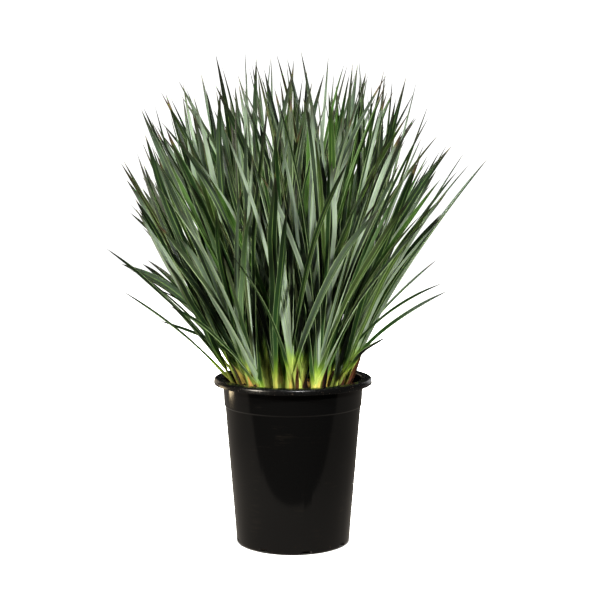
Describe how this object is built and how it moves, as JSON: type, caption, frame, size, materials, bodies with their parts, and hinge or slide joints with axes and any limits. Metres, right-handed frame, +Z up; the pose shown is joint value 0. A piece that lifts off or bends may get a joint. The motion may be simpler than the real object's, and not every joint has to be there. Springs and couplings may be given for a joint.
{
  "type": "potted flax lily",
  "caption": "Flax lily, a dense upright clump of narrow strap leaves in flattened fans, in potting mix in a glossy black plastic nursery pot.",
  "frame": {"origin": "middle of the pot's base, on the surface that the pot stands on", "axes": "+Z up along the pot's axis and the clump's height, -Y towards the viewer, +X to the viewer's right"},
  "size_m": [0.48, 0.4632, 0.6238],
  "materials": {
    "pot_plastic": "moulded glossy black, softly scuffed",
    "bark_mix": "rough composted bark fines, dry on top",
    "leaf": "smooth waxy leaf with a blue-grey bloom, fine lengthwise veins",
    "dry_sheath": "dry papery leaf base"
  },
  "bodies": {
    "root": {"pot": "pot_plastic", "potting_mix": "bark_mix", "fan_01": "leaf", "fan_02": "leaf", "fan_03": "leaf", "fan_04": "leaf", "fan_05": "leaf", "fan_06": "leaf", "fan_07": "leaf", "fan_08": "leaf", "fan_09": "leaf", "fan_10": "leaf", "fan_11": "leaf", "fan_12": "leaf", "fan_13": "leaf", "fan_14": "leaf", "fan_15": "leaf", "fan_16": "leaf", "fan_17": "leaf", "fan_18": "leaf", "fan_19": "leaf", "fan_20": "leaf", "fan_21": "leaf", "fan_22": "leaf", "fan_23": "leaf", "fan_24": "leaf", "fan_25": "leaf", "fan_26": "leaf", "fan_27": "leaf", "fan_28": "leaf", "fan_29": "leaf", "fan_30": "leaf", "fan_31": "leaf", "fan_32": "leaf", "fan_33": "leaf", "fan_34": "leaf", "fan_35": "leaf", "fan_36": "leaf", "fan_37": "leaf", "fan_38": "leaf", "fan_39": "leaf", "fan_40": "leaf", "fan_41": "leaf", "fan_42": "leaf", "fan_43": "leaf", "fan_44": "leaf", "fan_45": "leaf", "fan_46": "leaf", "fan_47": "leaf", "dry_sheath_1": "dry_sheath", "dry_sheath_2": "dry_sheath", "dry_sheath_3": "dry_sheath", "dry_sheath_4": "dry_sheath", "dry_sheath_5": "dry_sheath", "dry_sheath_6": "dry_sheath", "dry_sheath_7": "dry_sheath"}
  },
  "joints": []
}
